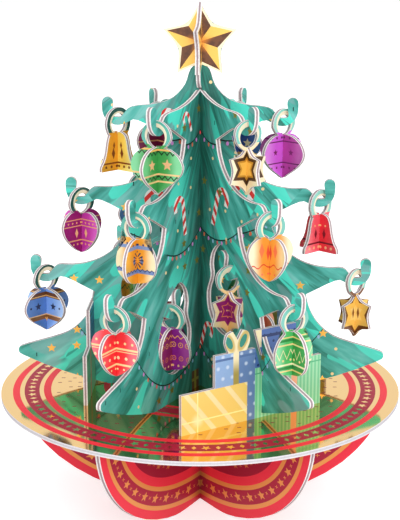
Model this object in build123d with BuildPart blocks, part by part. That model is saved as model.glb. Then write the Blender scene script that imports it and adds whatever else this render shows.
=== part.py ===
from build123d import *
from math import cos, radians, sin, sqrt
import os

# Pop-up advent calendar: a tree of six folded sector boards that stand back to back round one
# spine, a foil disc that the wings pass through, round lobes below it as a foot, a crossed star,
# three gift cards and twenty-four hanging ornaments.
# Millimetres. +Z is up, the origin is at the bottom centre on the spine, the front is -Y.

turn = 360.0
quarter = turn / 4

# Card
board = 1.5  # one layer of a sector board, so that a wing is two layers thick
disc_card = 2.5
star_card = 2.6
gift_card = 2.4
ornament_card = 2.4
fit_gap = 0.1  # each side of a card in a slot
rest_gap = 0.3  # a ring above the hook that carries it

# Wings: name, azimuth as the calendar was opened by hand, tall neck, gift card
wings = (
    ("right", -4.0, True, False),
    ("back_right", 61.0, False, True),
    ("back_left", 122.0, False, False),
    ("left", 178.0, True, True),
    ("front_left", 240.5, False, False),
    ("front_right", 303.0, False, True),
)
sector_names = ("right_rear", "rear", "left_rear", "left_front", "front", "right_front")

# Foot lobes and disc
disc_radius = 120.0
lobe_radius = 112.5
lobe_height = 77.0
foot_radius = 28.0
passage_radius = 56.0  # the wings run through the disc up to here
disc_top = lobe_height * sqrt(1 - (foot_radius / lobe_radius) ** 2)
disc_under = disc_top - disc_card

# Tree, with heights above the disc
spine_height = 180.0
neck_width = 5.6
shoulder_radius = 25.0
shoulder_drop = 9.4
shoulder_height = spine_height - shoulder_drop
skirt_radius = 107.4
skirt_height = 23.9
skirt_tip = 3.2
hang_radius = 48.0  # where the first ornament hangs
hang_drop = 17.0
hang_height = spine_height - hang_drop
tier_count = 3
skirt_tiers_share = 2.947  # tiers from the first hook down to the skirt
skirt_steps_share = 2.664  # and outwards
tier_drop = (hang_height - skirt_height) / skirt_tiers_share
tier_step = (skirt_radius - hang_radius) / skirt_steps_share
skirt_rise_share = 0.41  # how far the skirt's lower edge has risen half way out

# Straight cuts that the curves of a wing's edge are made in
flank_cut_count = 4
edge_cut_count = 3
lobe_cut_count = 10

# Outline of the notch under a branch, from its hanging point, in shares of tier_drop
notch_corner_shares = (-0.625, -0.225)
flank_shares = (-0.515, -0.54)
flank_end_shares = (-0.22, -0.797)
branch_top_shares = (0.042, -0.87)
# Outline of the shoulder and neck, in shares of shoulder_radius and of its height to the spine's top
shoulder_shares = (0.44, 0.38)
neck_shares = (0.36, 1.05)

# Hook, from its hanging point
bar_depth = 4.9
bar_flat = 2.3
hook_lip = 1.5  # rise of the bar's corners
hook_throat = 3.4
hook_rim = 9.1
rim_offset = -0.4
bulb_radius = 3.35
bulb_offset = 5.5
bulb_height = 8.5
neck_out = 7.4
neck_up = 6.4
apex_out = 10.8
apex_drop = 0.7
bulb_arc = (190.0, -15.0)
bulb_cut_count = 5
rim_arc = (-10.0, -130.0)
rim_cut_count = 4

# Window in a wing with a hook inside it: where it hangs, and its outline in shares of its height
window_drop = 13.6  # below the last tier's hook, in a wing with no gift card
window_rise = 8.4  # above it, in a wing with one
low_hang_radius = 33.8
high_hang_radius = 30.5
last_hang_height = hang_height - (tier_count - 1) * tier_drop
window_low = (low_hang_radius, last_hang_height - window_drop)
window_high = (high_hang_radius, last_hang_height + window_rise)
window_height_share = 1.1864
window_height = window_height_share * tier_drop
window_side_shares = (0.24, -0.09)
window_outer_shares = (0.31, -0.37)
window_base_shares = (-0.02, -0.705)
window_inner_shares = (-0.385, -0.37)
window_waist_shares = (-0.29, -0.1)
window_cheek_shares = (-0.3, 0.13)
window_top_shares = (-0.1, 0.29)

# Gift cards, which cross a wing: length to each side of it and height, counter-clockwise first
gift_radius = 65.0
gift_joint = 24.0  # height of the cross-halving joint
box_reach = 45.0
box_height = 30.0
bag_reach = 22.0
bag_height = 52.0
low_box_reach = 50.0
low_box_height = 21.0
tall_box_reach = 30.0
tall_box_height = 38.0
bow_height = 11.0
bow_width = 17.0
bow_shares = ((-0.35, 0.0), (-0.5, 0.45), (-0.42, 0.9), (-0.2, 1.0), (0.0, 0.55))

# Star
star_radius = 22.0
star_waist = 12.0
star_points = 5
star_azimuth = -7.0
star_rise = 26.3  # its centre above the spine's top
star_height = spine_height + star_rise
stem_foot = 4.0  # half widths of the stem that straddles the neck
stem_shoulder = 8.5
stem_rise = 4.0

# Ornaments: a ring plate and a cross plate in a cross-halving joint
ring_outer = 8.6
ring_inner = 5.6
ring_cut_count = 10  # straight cuts round the ring
body_height = 25.5
body_lap = 0.3  # the body's top below the ring's hole
bell_width = 15.0
heart_width = 13.3
bauble_width = 16.4
egg_width = 12.8
star_width = 13.0
star_waist_share = 0.7
ornament_tips = 6
# Half outlines from the top down, in shares of the half width and of the body's height
bell_shares = (
    (0.28, 0.0), (0.5, -0.07), (0.6, -0.22), (0.68, -0.5), (0.8, -0.72), (1.0, -0.88), (1.0, -1.0),
)
heart_shares = (
    (0.0, -0.14), (0.22, -0.02), (0.55, 0.0), (0.85, -0.12), (1.0, -0.33), (0.9, -0.55),
    (0.6, -0.77), (0.3, -0.91), (0.0, -1.0),
)
bauble_shares = (
    (0.0, 0.0), (0.5, -0.05), (0.83, -0.18), (1.0, -0.38), (0.93, -0.55), (0.65, -0.73),
    (0.3, -0.87), (0.0, -1.0),
)
egg_shares = (
    (0.0, 0.0), (0.45, -0.05), (0.77, -0.19), (0.96, -0.4), (1.0, -0.6), (0.9, -0.79),
    (0.6, -0.95), (0.0, -1.0),
)
# What hangs on each wing, from the top hook down, the window's hook last, and the turn of its ring
ornaments = {
    "right": (49.0, ("bauble", "bell", "star", "heart")),
    "back_right": (quarter, ("bauble", "egg", "heart", "star")),
    "back_left": (quarter, ("heart", "bauble", "egg", "star")),
    "left": (49.0, ("bell", "heart", "bauble", "egg")),
    "front_left": (quarter, ("bauble", "egg", "heart", "egg")),
    "front_right": (quarter, ("star", "heart", "egg", "star")),
}
widths = {
    "bell": bell_width,
    "heart": heart_width,
    "bauble": bauble_width,
    "egg": egg_width,
    "star": star_width,
}


def on_arc(center, radius, start, stop, cuts):
    """Points on an arc, from one angle to another in equal cuts."""
    angles = [start + (stop - start) * cut / cuts for cut in range(cuts + 1)]
    return [
        (center[0] + radius * cos(radians(angle)), center[1] + radius * sin(radians(angle)))
        for angle in angles
    ]


def draw_arc(start, middle, end, cuts):
    """An arc through three points, in equal straight cuts."""
    arc = ThreePointArc(start, middle, end, mode=Mode.PRIVATE)
    Polyline(*[arc @ (cut / cuts) for cut in range(cuts + 1)])


def spot(azimuth, radius):
    return radius * cos(radians(azimuth)), radius * sin(radians(azimuth))


def upright(azimuth, through=(0, 0)):
    """An upright plane through a spot: X runs out along the azimuth, Y up from the disc's top."""
    out = spot(azimuth, 1)
    return Plane(origin=(*through, disc_top), x_dir=(*out, 0), z_dir=(out[1], -out[0], 0))


def hanging_point(tier):
    return hang_radius + tier * tier_step, hang_height - tier * tier_drop


def placed(origin, shares, size, side=1):
    return origin[0] + side * shares[0] * size, origin[1] + shares[1] * size


def hook_points(at, side=1):
    """A hook's outline from the neck's top, round its bulb, to the apex under the branch."""
    bulb = (bulb_offset, bulb_height)
    rim = (rim_offset, hook_rim - bar_depth)
    points = [(-neck_out, neck_up), (-hook_throat, hook_lip), (-bar_flat, 0), (bar_flat, 0)]
    points += [(hook_throat, hook_lip)]
    points += on_arc(bulb, bulb_radius, *bulb_arc, bulb_cut_count)
    points += on_arc(rim, hook_rim, *rim_arc, rim_cut_count)
    points += [(-apex_out, -apex_drop)]
    return [(at[0] + side * x, at[1] + y) for x, y in points]


def draw_branch(at, last):
    """A branch from its hook to the end of the next branch's top, or to the skirt's tip."""
    hook = hook_points(at)
    corner = placed(at, notch_corner_shares, tier_drop)
    flank_end = placed(at, flank_end_shares, tier_drop)
    if last:
        end = (skirt_radius, skirt_height)
    else:
        end = (at[0] + tier_step - neck_out, at[1] - tier_drop + neck_up)
    Polyline(*hook, corner)
    draw_arc(corner, placed(at, flank_shares, tier_drop), flank_end, flank_cut_count)
    draw_arc(flank_end, placed(at, branch_top_shares, tier_drop), end, edge_cut_count)


def draw_wing(neck):
    """The whole outline of a wing, from the spine's top out, down and back under the lobe."""
    rise = spine_height - shoulder_height
    shoulder = (shoulder_radius, shoulder_height)
    first = hanging_point(0)
    if neck:
        star_edge = star_height - star_waist - rest_gap
        top = (neck_width, star_edge - neck_width * edge_slope())
        Polyline((0, star_edge), top)
        middle = (neck_shares[0] * shoulder_radius, shoulder_height + neck_shares[1] * rise)
        draw_arc(top, middle, shoulder, edge_cut_count)
    else:
        star_edge = spine_height
        middle = (
            shoulder_shares[0] * shoulder_radius,
            shoulder_height + shoulder_shares[1] * rise,
        )
        draw_arc((0, spine_height), middle, shoulder, edge_cut_count)
    Line(shoulder, (first[0] - neck_out, first[1] + neck_up))
    for tier in range(tier_count):
        draw_branch(hanging_point(tier), tier == tier_count - 1)
    tip = (skirt_radius, skirt_height)
    tip_low = (skirt_radius, skirt_height - 2 * skirt_tip)
    draw_arc(tip, (skirt_radius + skirt_tip, skirt_height - skirt_tip), tip_low, edge_cut_count)
    half_way = (skirt_radius + passage_radius) / 2
    draw_arc(tip_low, (half_way, skirt_rise_share * tip_low[1]), (passage_radius, 0), flank_cut_count)
    lobe_out = lobe_radius * sqrt(1 - (disc_card / lobe_height) ** 2)
    Polyline((passage_radius, 0), (passage_radius, -disc_card), (lobe_out, -disc_card))
    lobe = [(lobe_out, -disc_card)]
    for cut in range(1, lobe_cut_count):
        reach = lobe_out + (foot_radius - lobe_out) * (1 - cos(radians(quarter * cut / lobe_cut_count)))
        lobe.append((reach, -lobe_height * sqrt(1 - (reach / lobe_radius) ** 2)))
    Polyline(*lobe, (foot_radius, -disc_top), (0, -disc_top), (0, star_edge))


def edge_slope():
    """Fall of the star's lower edges, from its lowest notch to the tips beside it."""
    angle = radians(quarter - turn / star_points / 2)
    out = star_radius * cos(angle)
    return (star_radius * sin(angle) - star_waist) / out


def draw_window(at):
    """The window round an inner hook, which comes from its outer side."""
    hook = hook_points(at, -1)
    side = placed(at, window_side_shares, window_height)
    base = placed(at, window_base_shares, window_height)
    waist = placed(at, window_waist_shares, window_height)
    top = placed(at, window_top_shares, window_height)
    Polyline(*hook, side)
    draw_arc(side, placed(at, window_outer_shares, window_height), base, flank_cut_count)
    draw_arc(base, placed(at, window_inner_shares, window_height), waist, flank_cut_count)
    draw_arc(waist, placed(at, window_cheek_shares, window_height), top, flank_cut_count)
    Line(top, hook[0])


# Sector boards: two half wings folded at the spine, each a layer thick
os.makedirs("parts", exist_ok=True)
for index, sector in enumerate(sector_names):
    following = wings[(index + 1) % len(wings)]
    with BuildPart() as tree_board:
        for side, (wing, azimuth, neck, gift) in ((-1, wings[index]), (1, following)):
            with BuildSketch(upright(azimuth)) as half_wing:
                with BuildLine():
                    draw_wing(neck)
                make_face()
                with BuildLine():
                    draw_window(window_high if gift else window_low)
                make_face(mode=Mode.SUBTRACT)
                if gift:
                    with Locations((gift_radius, 0)):
                        Rectangle(
                            gift_card + 2 * fit_gap,
                            gift_joint,
                            align=(Align.CENTER, Align.MIN),
                            mode=Mode.SUBTRACT,
                        )
            extrude(amount=side * board)
        with BuildSketch(Plane.XY) as wedge:
            reach = 2 * disc_radius
            with BuildLine():
                Polyline((0, 0), spot(wings[index][1], reach), spot(following[1], reach), close=True)
            make_face()
        extrude(amount=2 * disc_top + 2 * spine_height, mode=Mode.INTERSECT)
    tree_board.part.label = f"tree_board_{sector}"
    export_step(tree_board.part, f"parts/tree_board_{sector}.step")

# Foil disc, with a slot for each wing
with BuildPart() as foil_disc:
    with BuildSketch(Plane.XY.offset(disc_under)):
        Circle(disc_radius)
        for wing, azimuth, neck, gift in wings:
            with Locations(Location((0, 0), azimuth)):
                Rectangle(
                    passage_radius + fit_gap,
                    2 * (board + fit_gap),
                    align=(Align.MIN, Align.CENTER),
                    mode=Mode.SUBTRACT,
                )
    extrude(amount=disc_card)
foil_disc.part.label = "foil_disc"
export_step(foil_disc.part, "parts/foil_disc.step")

# Crossed star: the wide plate sits on the tree's neck, the deep one straddles it with its stem
def draw_star():
    tips = on_arc((0, star_height), star_radius, quarter, quarter + turn, star_points)
    half = turn / star_points / 2
    notches = on_arc((0, star_height), star_waist, quarter + half, quarter + half + turn, star_points)
    Polyline(*[point for pair in zip(tips[:-1], notches[:-1]) for point in pair], close=True)


with BuildPart() as star_wide_plate:
    with BuildSketch(upright(star_azimuth)):
        with BuildLine():
            draw_star()
        make_face()
        with Locations((0, star_height)):
            Rectangle(
                star_card + 2 * fit_gap,
                star_radius,
                align=(Align.CENTER, Align.MIN),
                mode=Mode.SUBTRACT,
            )
    extrude(amount=star_card / 2, both=True)
star_wide_plate.part.label = "star_wide_plate"
export_step(star_wide_plate.part, "parts/star_wide_plate.step")

with BuildPart() as star_deep_plate:
    with BuildSketch(upright(star_azimuth + quarter)):
        with BuildLine():
            draw_star()
        make_face()
        stem_base = spine_height + rest_gap
        stem = [(stem_foot, stem_base), (stem_shoulder, stem_base + stem_rise)]
        stem += [(stem_shoulder, star_height - star_waist)]
        with BuildLine():
            Polyline(*stem, *[(-x, y) for x, y in reversed(stem)], close=True)
        make_face()
        with Locations((0, stem_base)):
            Rectangle(
                2 * (board + rest_gap),
                star_height - stem_base + fit_gap,
                align=(Align.CENTER, Align.MIN),
                mode=Mode.SUBTRACT,
            )
    extrude(amount=star_card / 2, both=True)
star_deep_plate.part.label = "star_deep_plate"
export_step(star_deep_plate.part, "parts/star_deep_plate.step")

# Gift cards, each halved over its wing
low_side = [(-low_box_reach, 0), (-low_box_reach, low_box_height), (-tall_box_reach, low_box_height)]
tall_side = [(-tall_box_reach, tall_box_height)]
bow_at = (-tall_box_reach / 2, tall_box_height)
bow = [(bow_at[0] + x * bow_width, bow_at[1] + y * bow_height) for x, y in bow_shares]
bow += [(2 * bow_at[0] - x, y) for x, y in reversed(bow[:-1])]
bag_side = [(0, tall_box_height), (0, bag_height), (bag_reach, bag_height), (bag_reach, box_height)]
box_side = [(box_reach, box_height), (box_reach, 0)]
for wing, azimuth, neck, gift in wings:
    if not gift:
        continue
    with BuildPart() as gifts:
        with BuildSketch(upright(azimuth + quarter, spot(azimuth, gift_radius))):
            with BuildLine():
                Polyline(*low_side, *tall_side, *bow, *bag_side, *box_side, close=True)
            make_face()
            with Locations((0, gift_joint - fit_gap)):
                Rectangle(
                    2 * (board + fit_gap),
                    bag_height,
                    align=(Align.CENTER, Align.MIN),
                    mode=Mode.SUBTRACT,
                )
        extrude(amount=gift_card / 2, both=True)
    gifts.part.label = f"gift_card_{wing}"
    export_step(gifts.part, f"parts/gift_card_{wing}.step")


# Ornaments
def star_shares():
    """Half of a star, from its top tip down."""
    points = []
    for index in range(ornament_tips + 1):
        angle = radians(index * turn / ornament_tips / 2)
        reach = star_waist_share if index % 2 else 1
        points.append((reach * sin(angle), (reach * cos(angle) - 1) / 2))
    return points


outlines = {
    "bell": bell_shares,
    "heart": heart_shares,
    "bauble": bauble_shares,
    "egg": egg_shares,
    "star": star_shares(),
}


def draw_body(kind, top):
    """The outline of an ornament's body below its top, both halves."""
    right = [(widths[kind] * x, top + body_height * y) for x, y in outlines[kind]]
    left = [(-x, y) for x, y in reversed(right) if x > ornament_card / 2]
    Polyline(*right, *left, close=True)


def ring_height(hook, ring_turn):
    """The centre of a ring that hangs on a hook's bar and is turned from the wing."""
    along_share = abs(cos(radians(ring_turn)))
    across_share = abs(sin(radians(ring_turn)))
    across = (board + ornament_card / 2 * along_share) / across_share
    along = across * along_share + ornament_card / 2 * across_share
    lip_rise = max(0, along - bar_flat) * hook_lip / (hook_throat - bar_flat)
    inner_flat = ring_inner * cos(radians(turn / ring_cut_count / 2))
    return hook + lip_rise + rest_gap - sqrt(inner_flat**2 - across**2)


for wing, azimuth, neck, gift in wings:
    ring_turn, kinds = ornaments[wing]
    hooks = [hanging_point(tier) for tier in range(tier_count)]
    hooks += [window_high if gift else window_low]
    for place, (kind, (radius, hook)) in enumerate(zip(kinds, hooks)):
        ring_at = ring_height(hook, ring_turn)
        body_top = ring_at - ring_inner - body_lap
        through = spot(azimuth, radius)
        joint_height = body_height / 2 + fit_gap
        name = f"{kind}_{wing}_{place + 1}"
        with BuildPart() as ring_plate:
            with BuildSketch(upright(azimuth + ring_turn, through)):
                with Locations((0, ring_at)):
                    RegularPolygon(ring_outer, ring_cut_count)
                with BuildLine():
                    draw_body(kind, body_top)
                make_face()
                with Locations((0, ring_at)):
                    RegularPolygon(ring_inner, ring_cut_count, mode=Mode.SUBTRACT)
                with Locations((0, body_top - body_height)):
                    Rectangle(
                        ornament_card + 2 * fit_gap,
                        joint_height,
                        align=(Align.CENTER, Align.MIN),
                        mode=Mode.SUBTRACT,
                    )
            extrude(amount=ornament_card / 2, both=True)
        ring_plate.part.label = f"{name}_ring_plate"
        export_step(ring_plate.part, f"parts/{name}_ring_plate.step")

        with BuildPart() as cross_plate:
            with BuildSketch(upright(azimuth + ring_turn + quarter, through)):
                with BuildLine():
                    draw_body(kind, body_top)
                make_face()
                with Locations((0, body_top - body_height / 2 - fit_gap)):
                    Rectangle(
                        ornament_card + 2 * fit_gap,
                        body_height,
                        align=(Align.CENTER, Align.MIN),
                        mode=Mode.SUBTRACT,
                    )
            extrude(amount=ornament_card / 2, both=True)
        cross_plate.part.label = f"{name}_cross_plate"
        export_step(cross_plate.part, f"parts/{name}_cross_plate.step")
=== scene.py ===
import bpy
import math
from mathutils import Matrix, Vector


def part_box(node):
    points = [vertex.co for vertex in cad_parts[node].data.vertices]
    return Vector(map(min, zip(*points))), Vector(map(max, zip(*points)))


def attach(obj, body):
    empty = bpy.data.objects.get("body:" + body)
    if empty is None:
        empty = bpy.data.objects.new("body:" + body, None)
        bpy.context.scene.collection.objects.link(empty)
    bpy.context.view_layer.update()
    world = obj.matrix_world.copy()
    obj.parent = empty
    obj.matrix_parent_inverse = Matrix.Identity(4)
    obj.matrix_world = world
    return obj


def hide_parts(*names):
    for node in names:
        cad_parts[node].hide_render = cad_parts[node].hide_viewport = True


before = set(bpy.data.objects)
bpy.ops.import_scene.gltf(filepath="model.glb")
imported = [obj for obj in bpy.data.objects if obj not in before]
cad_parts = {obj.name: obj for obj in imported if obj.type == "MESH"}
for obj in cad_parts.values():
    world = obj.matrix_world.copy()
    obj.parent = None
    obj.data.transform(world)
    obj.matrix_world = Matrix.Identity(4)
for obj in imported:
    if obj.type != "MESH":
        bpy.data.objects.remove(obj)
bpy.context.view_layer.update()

# The calendar's main places, in metres, as the card model has them
tree = {
    "discTop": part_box("foil_disc")[1].z,
    "discCard": 0.0025,
    "board": 0.0015,  # one layer of a wing
    "tierDrop": 0.0472,
}
# Each wing: its azimuth, how lit it is (painted light that makes its print lighter or darker), and
# how its string of lights leans (below zero on the left, which the print tells the left wings by)
wings = {
    "right": (-4.0, 0.45, 0.1),
    "back_right": (61.0, 0.6, 0.0),
    "back_left": (122.0, 0.6, 0.0),
    "left": (178.0, 1.0, -0.1),
    "front_left": (240.5, 0.35, -0.2),
    "front_right": (303.0, 0.3, 0.1),
}
boardWings = {
    "tree_board_right_rear": ("right", "back_right"),
    "tree_board_rear": ("back_right", "back_left"),
    "tree_board_left_rear": ("back_left", "left"),
    "tree_board_left_front": ("left", "front_left"),
    "tree_board_front": ("front_left", "front_right"),
    "tree_board_right_front": ("front_right", "right"),
}


def activate(*things):
    bpy.ops.object.select_all(action="DESELECT")
    for thing in things:
        thing.select_set(True)
    bpy.context.view_layer.objects.active = things[0]


def setMode(mode):
    bpy.ops.object.mode_set(mode=mode)


def out(azimuth):
    return Vector((math.cos(math.radians(azimuth)), math.sin(math.radians(azimuth)), 0))


def finishPiece(piece, materials, nodes):
    chosen = [polygon.material_index for polygon in piece.data.polygons]
    piece.data.materials.clear()
    for material in materials:
        piece.data.materials.append(material)
    piece.data.polygons.foreach_set("material_index", chosen)
    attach(piece, "root")
    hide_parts(*nodes)


# Linear colour of a printer's hex code
def ink(code):
    parts = [int(code[i : i + 2], 16) / 255 for i in (1, 3, 5)]
    return [p / 12.92 if p <= 0.04045 else ((p + 0.055) / 1.055) ** 2.4 for p in parts] + [1.0]


# One material, with helpers that add its nodes and wire them up
class Maker:
    def __init__(self, name):
        self.material = bpy.data.materials.new(name)
        self.material.use_nodes = True
        self.tree = self.material.node_tree
        self.shader = self.tree.nodes["Principled BSDF"]

    def node(self, kind, **settings):
        made = self.tree.nodes.new(kind)
        for key, value in settings.items():
            setattr(made, key, value)
        return made

    def feed(self, socket, value):
        if isinstance(value, bpy.types.NodeSocket):
            self.tree.links.new(value, socket)
        elif value is not None:
            socket.default_value = value

    def calc(self, operation, a, b=None):
        made = self.node("ShaderNodeMath", operation=operation)
        for socket, value in zip(made.inputs, (a, b)):
            self.feed(socket, value)
        return made.outputs[0]

    def add(self, a, b):
        return self.calc("ADD", a, b)

    def sub(self, a, b):
        return self.calc("SUBTRACT", a, b)

    def mul(self, a, b):
        return self.calc("MULTIPLY", a, b)

    def div(self, a, b):
        return self.calc("DIVIDE", a, b)

    def size(self, a):
        return self.calc("ABSOLUTE", a)

    def less(self, a, b):
        return self.calc("LESS_THAN", a, b)

    def more(self, a, b):
        return self.calc("GREATER_THAN", a, b)

    def either(self, *masks):
        result = masks[0]
        for mask in masks[1:]:
            result = self.calc("MAXIMUM", result, mask)
        return result

    def both(self, *masks):
        result = masks[0]
        for mask in masks[1:]:
            result = self.mul(result, mask)
        return result

    def reach(self, x, y):
        return self.calc("SQRT", self.add(self.mul(x, x), self.mul(y, y)))

    def smooth(self, value, low, high, start=0.0, stop=1.0):
        made = self.node("ShaderNodeMapRange", interpolation_type="SMOOTHSTEP")
        for socket, item in zip(made.inputs, (value, low, high, start, stop)):
            self.feed(socket, item)
        return made.outputs[0]

    def within(self, value, low, high):
        return self.both(self.more(value, low), self.less(value, high))

    def near(self, value, middle, half):
        return self.less(self.size(self.sub(value, middle)), half)

    def mix(self, factor, a, b, blend="MIX"):
        made = self.node("ShaderNodeMix", data_type="RGBA", blend_type=blend)
        for socket, item in zip((made.inputs[0], made.inputs[6], made.inputs[7]), (factor, a, b)):
            self.feed(socket, ink(item) if isinstance(item, str) else item)
        return made.outputs[2]

    def join(self, x, y, z=0.0):
        made = self.node("ShaderNodeCombineXYZ")
        for socket, value in zip(made.inputs, (x, y, z)):
            self.feed(socket, value)
        return made.outputs[0]

    def tint(self, colour, shade):
        return self.mix(1.0, colour, self.join(shade, shade, shade), "MULTIPLY")

    def split(self, vector):
        made = self.node("ShaderNodeSeparateXYZ")
        self.feed(made.inputs[0], vector)
        return made.outputs[0], made.outputs[1], made.outputs[2]

    def uv(self, name):
        return self.split(self.node("ShaderNodeUVMap", uv_map=name).outputs[0])[:2]

    def place(self):
        return self.node("ShaderNodeTexCoord").outputs["Object"]

    def noise(self, vector, scale, detail=2.0, roughness=0.5):
        made = self.node("ShaderNodeTexNoise")
        self.feed(made.inputs["Vector"], vector)
        made.inputs["Scale"].default_value = scale
        made.inputs["Detail"].default_value = detail
        made.inputs["Roughness"].default_value = roughness
        return made.outputs[0]

    def cells(self, x, y, scale, randomness):
        made = self.node("ShaderNodeTexVoronoi", feature="F1", voronoi_dimensions="2D")
        self.feed(made.inputs["Vector"], self.join(x, y))
        made.inputs["Scale"].default_value = scale
        made.inputs["Randomness"].default_value = randomness
        chance = self.split(made.outputs["Color"])[0]
        px, py = self.split(made.outputs["Position"])[:2]
        return chance, self.sub(x, px), self.sub(y, py)

    def ramp(self, value, stops, interpolation="LINEAR"):
        made = self.node("ShaderNodeValToRGB")
        self.feed(made.inputs[0], value)
        bar = made.color_ramp
        bar.interpolation = interpolation
        while len(bar.elements) < len(stops):
            bar.elements.new(0.5)
        for element, (place, code) in zip(bar.elements, stops):
            element.position = place
            element.color = ink(code)
        return made.outputs[0]

    def bump(self, height, strength, distance):
        made = self.node("ShaderNodeBump")
        self.feed(made.inputs["Height"], height)
        made.inputs["Strength"].default_value = strength
        made.inputs["Distance"].default_value = distance
        self.tree.links.new(made.outputs[0], self.shader.inputs["Normal"])

    def finish(self, colour, roughness, metallic=None):
        self.feed(self.shader.inputs["Base Color"], colour)
        self.feed(self.shader.inputs["Roughness"], roughness)
        self.feed(self.shader.inputs["Metallic"], metallic)
        return self.material

    # how far out a point is in a star whose first tip points up: 1 on its outline
    def starShare(self, dx, dy, size, waist=0.45, points=5):
        sector = math.tau / points
        folded = self.calc("PINGPONG", self.calc("ARCTAN2", dx, dy), sector / 2)
        rest = self.calc("SINE", self.sub(sector / 2, folded))
        side = self.add(self.calc("SINE", folded), self.mul(rest, waist))
        return self.div(self.mul(self.reach(dx, dy), side), size * waist * math.sin(sector / 2))

    def star(self, dx, dy, size, waist=0.45, points=5):
        return self.less(self.starShare(dx, dy, size, waist, points), 1.0)

    # place across the middle of the nearest of the cells that repeat along a line
    def repeat(self, along, pitch):
        return self.sub(self.mul(self.calc("FRACT", self.div(along, pitch)), pitch), pitch / 2)


# Card stock: white liners with a mauve-grey core, seen wherever a board is cut
cardEdge = {
    "liner": "#f6f1f0",
    "core": "#a58f94",
    "discLiner": "#e4e0e4",
    "discCore": "#cdc8ce",
    "coreShare": 0.42,  # of the half thickness, on each side of the middle
    "coreBlur": 0.06,
    "roughness": 0.72,
}


def makeEdgeMaterial(name, liner, core):
    m = Maker(name)
    across = m.uv("across")[0]
    fibre = m.noise(m.place(), 900.0, 3.0)
    wobble = m.mul(m.sub(fibre, 0.5), 0.25)
    share, blur = cardEdge["coreShare"], cardEdge["coreBlur"]
    inCore = m.smooth(m.add(m.size(across), wobble), share + blur, share - blur)
    colour = m.tint(m.mix(inCore, liner, core), m.smooth(fibre, 0.3, 0.7, 0.92, 1.0))
    m.bump(fibre, 0.3, 0.00008)
    return m.finish(colour, cardEdge["roughness"])


# Print on the six sector boards. Strokes have their number round a tier's fan and along it, their
# place in the noise and its detail. Edges are where a layer starts and is full, and how strong it is
fir = {
    # deep: colour of the painted shade, mixed with dark by the fine strokes
    "deep": "#1c5145",
    "dark": "#267566",
    "middle": "#3a988c",
    "light": "#57b8ad",
    "pale": "#80cbc4",
    "bright": "#4fe9d2",
    "grey": "#7aa6a6",
    "fanTop": 0.212,
    "fanShift": 0.004,
    "seeds": (0.37, 0.19),  # from board to board, and from a board's first wing to its second
    "wingLift": 7.0,
    "fine": (20.0, 45.0, 0.0, 2.0),
    "broad": (8.0, 20.0, 3.0, 1.0),
    "fineShare": 0.45,
    "paintedLightReach": 0.16,
    "steps": ((0.32, "dark"), (0.44, "middle"), (0.56, "light"), (0.68, "pale")),
    "greyStrokes": (7.0, 26.0, 21.0, 1.0),
    "greyEdge": (0.57, 0.6, 0.0, 0.55),
    "brightStrokes": (8.0, 26.0, 9.0, 0.5),
    "brightEdge": (0.585, 0.6, 0.0, 0.85),
    "brightReach": (0.05, 0.1, 1.0, 0.75),
    "thinStrokes": (30.0, 24.0, 31.0, 1.0),
    "thinEdge": (0.64, 0.67, 0.0, 0.6),
    # painted shade near the spine, under each tier and at the foot
    "spineShade": (0.03, 0.001, 0.0, 0.9),
    "tierShade": (0.024, 0.0, 0.0, 0.75),
    "tierShadeReach": (0.04, 0.016, 0.008),  # on the top tier, more on each lower one, and inside
    "footShade": (0.075, 0.0, 0.0, 0.85),
    "footShadeReach": (0.06, 0.012),
}
# Strings of lights: height on the spine, lowest point's distance and height, outer end's ones
lightStrings = (
    (0.1585, 0.016, 0.1495, 0.034, 0.148),
    (0.1003, 0.022, 0.092, 0.041, 0.098),
    (0.028, 0.038, 0.012, 0.080, 0.046),
)
lights = {
    "wire": "#10201f",
    "wireHalf": 0.00042,
    "leaning": 1,  # the string that leans with its wing
    "leftLean": -0.05,
    "bulbs": ((0.0, "#ea5c66"), (0.3, "#d98ad6"), (0.6, "#9cc6e6"), (0.85, "#e8714f")),
    "pitch": 0.0046,
    "radius": 0.00085,
    "drop": 0.0016,
}
# Candy canes: centre of the crook, its radius, stem, half thickness, lean, and if on the left wings
canes = (
    (0.0255, 0.119, 0.0048, 0.0185, 0.002, 0.27, False),
    (0.0265, 0.115, 0.0044, 0.0185, 0.0018, 0.12, True),
    (0.0185, 0.1645, 0.0028, 0.0095, 0.0011, 0.35, True),
    (0.0115, 0.0375, 0.0036, 0.013, 0.0015, 0.35, False),
)
canePrint = {"white": "#f7f3f0", "red": "#e3342f", "tail": 0.0028, "slant": 0.8, "stripes": 165.0}
# Foil stars, pale dots and dark dashes, one in a cell, picked by the cell's chance
scatter = {
    "cells": 66.0,
    "foil": "#f6bc55",
    # painted shade: the foil stars' darkened colour on the less lit wings, also used for the parcel's
    # ribbon
    "shadedFoil": "#8b8436",  # on the wings that face the camera
    "shadedFoilBelow": 0.42,
    "starSize": 0.0029,
    "starsFrom": 0.76,
    "dot": "#f7dba0",
    "dotRadius": 0.00095,
    "dotsTo": 0.3,
    "dash": "#123f3c",
    "dashHalf": (0.00032, 0.0012),
    "dashesTo": 0.48,
}
parcel = {"paper": "#5f3c24", "near": 0.0045, "far": 0.0125, "high": 0.0115, "ribbon": (0.0012, 0.0009)}
lobes = {
    "red": "#ff3b50",
    "line": "#f8ab5a",
    "wine": "#ba2444",
    "innerWine": "#a91c3b",
    "spineShade": "#5c1020",
    "bands": (0.0058, 0.0086, 0.018, 0.0209, 0.027),  # from the rim inwards
    "bandColours": ("line", "wine", "line", "red", "innerWine"),
    "semiWidth": 0.1125,
    "semiHeight": 0.077,
    "starPitch": 0.0123,
    "starSize": 0.0034,
    "starRows": ((0.0133, 0.084, 1.0, 1.0), (0.0345, 0.062, 0.75, 0.6)),  # place, length, size, ink
    "cross": (0.00028, 0.0009),
    "top": -0.001,
}


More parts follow.
